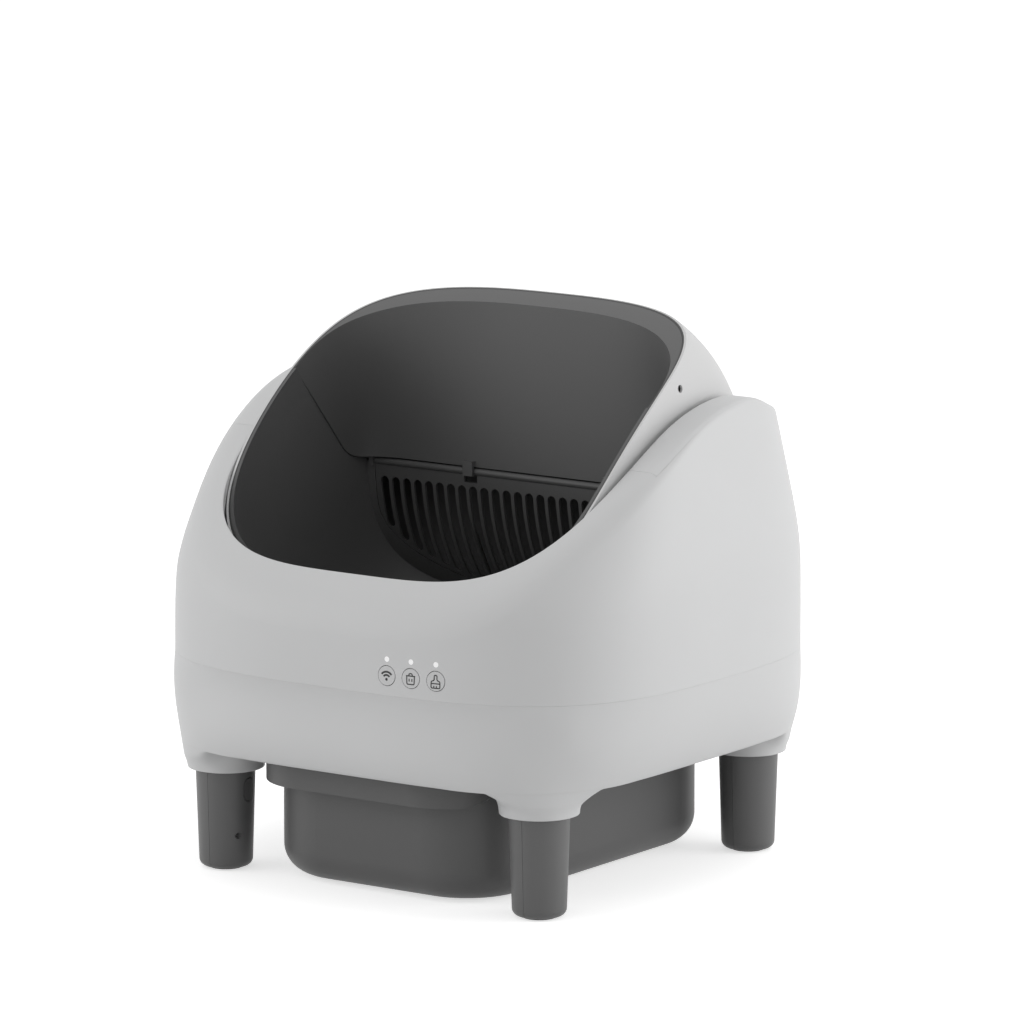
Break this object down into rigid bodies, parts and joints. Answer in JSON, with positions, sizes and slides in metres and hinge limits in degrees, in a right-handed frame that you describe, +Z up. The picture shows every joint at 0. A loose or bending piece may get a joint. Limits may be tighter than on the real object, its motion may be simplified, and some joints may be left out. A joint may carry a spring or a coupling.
{
  "type": "smart litter box",
  "caption": "Open-top self-cleaning litter box: a barrel drum with a hinged sieve turns in a rounded case on round legs and empties into a pull-out bin",
  "frame": {"origin": "on the floor, midway between the legs", "axes": "+Z up, front -Y, right +X"},
  "size_m": [0.5802, 0.5362, 0.5692],
  "materials": {
    "shell_light": "light grey, fine satin texture",
    "trim_light": "light grey, fine satin texture",
    "button_light": "light grey satin with a printed pictogram",
    "light_lens": "milky clear",
    "leg_dark": "dark grey satin",
    "leg_button_dark": "dark grey satin",
    "bin_dark": "dark grey, fine texture",
    "liner_dark": "dark grey, fine texture",
    "sieve_dark": "dark grey satin",
    "pad_rubber": "soft black",
    "screw_steel": "zinc plated",
    "frame_plastic": "mid grey moulded",
    "gear_plastic": "natural acetal",
    "board_green": "green solder mask",
    "black_plastic": "black moulded"
  },
  "bodies": {
    "base": {"upper_case": "shell_light", "lower_case": "shell_light", "left_ear_cap": "trim_light", "right_ear_cap": "trim_light", "status_lights": "light_lens", "front_left_leg_inner": "leg_dark", "front_left_leg_outer": "leg_dark", "front_right_leg_inner": "leg_dark", "front_right_leg_outer": "leg_dark", "rear_left_leg_inner": "leg_dark", "rear_left_leg_outer": "leg_dark", "rear_right_leg_inner": "leg_dark", "rear_right_leg_outer": "leg_dark", "front_left_foot_pad": "pad_rubber", "front_right_foot_pad": "pad_rubber", "rear_left_foot_pad": "pad_rubber", "rear_right_foot_pad": "pad_rubber", "frame_screws": "screw_steel", "leg_screws": "screw_steel", "inner_frame": "frame_plastic", "left_bin_rail": "frame_plastic", "right_bin_rail": "frame_plastic", "left_bearing_bush": "gear_plastic", "right_bearing_bush": "gear_plastic", "control_board": "board_green", "button_board": "board_green", "button_switches": "black_plastic", "power_inlet": "black_plastic", "gear_motor": "black_plastic"},
    "drum": {"drum_shell": "shell_light", "hood_liner": "liner_dark", "bowl_liner": "liner_dark", "drum_screws": "screw_steel", "sieve_clips": "liner_dark", "drum_gear": "gear_plastic", "left_axle": "gear_plastic", "right_axle": "gear_plastic"},
    "sieve_door": {"sieve": "sieve_dark", "sieve_hinge_pins": "screw_steel"},
    "drawer": {"waste_bin": "bin_dark", "bin_pull_lip": "bin_dark"},
    "drive_shaft": {"pinion": "gear_plastic", "motor_shaft": "screw_steel"},
    "wireless_key": {"wireless_button": "button_light"},
    "empty_key": {"empty_button": "button_light"},
    "clean_key": {"clean_button": "button_light"},
    "front_left_release": {"front_left_leg_button": "leg_button_dark"},
    "front_right_release": {"front_right_leg_button": "leg_button_dark"},
    "rear_left_release": {"rear_left_leg_button": "leg_button_dark"},
    "rear_right_release": {"rear_right_leg_button": "leg_button_dark"}
  },
  "joints": [
    {"name": "drum_turn", "type": "hinge", "parent": "base", "child": "drum", "pos_m": [0, 0, 0.3805], "axis": [1, 0, 0], "range_deg": [-220, 140]},
    {"name": "pinion_turn", "type": "hinge", "parent": "base", "child": "drive_shaft", "pos_m": [-0.236, 0.06267, 0.30581], "axis": [1, 0, 0], "range_deg": [-470, 740]},
    {"name": "sieve_swing", "type": "hinge", "parent": "drum", "child": "sieve_door", "pos_m": [0, 0.0925, 0.3785], "axis": [-1, 0, 0], "range_deg": [0, 75]},
    {"name": "bin_slide", "type": "slide", "parent": "base", "child": "drawer", "axis": [0, -1, 0], "range_m": [0, 0.3]},
    {"name": "wireless_press", "type": "slide", "parent": "base", "child": "wireless_key", "axis": [0, 1, 0], "range_m": [0, 0.0012], "stiffness_N_per_m": 900},
    {"name": "empty_press", "type": "slide", "parent": "base", "child": "empty_key", "axis": [0, 1, 0], "range_m": [0, 0.0012], "stiffness_N_per_m": 900},
    {"name": "clean_press", "type": "slide", "parent": "base", "child": "clean_key", "axis": [0, 1, 0], "range_m": [0, 0.0012], "stiffness_N_per_m": 900},
    {"name": "front_left_release_press", "type": "slide", "parent": "base", "child": "front_left_release", "axis": [-1, 0, 0], "range_m": [0, 0.0025], "stiffness_N_per_m": 700},
    {"name": "front_right_release_press", "type": "slide", "parent": "base", "child": "front_right_release", "axis": [1, 0, 0], "range_m": [0, 0.0025], "stiffness_N_per_m": 700},
    {"name": "rear_left_release_press", "type": "slide", "parent": "base", "child": "rear_left_release", "axis": [-1, 0, 0], "range_m": [0, 0.0025], "stiffness_N_per_m": 700},
    {"name": "rear_right_release_press", "type": "slide", "parent": "base", "child": "rear_right_release", "axis": [1, 0, 0], "range_m": [0, 0.0025], "stiffness_N_per_m": 700}
  ],
  "couplings": [
    {"joint": "pinion_turn", "follows": "drum_turn", "ratio": -3.3333}
  ]
}
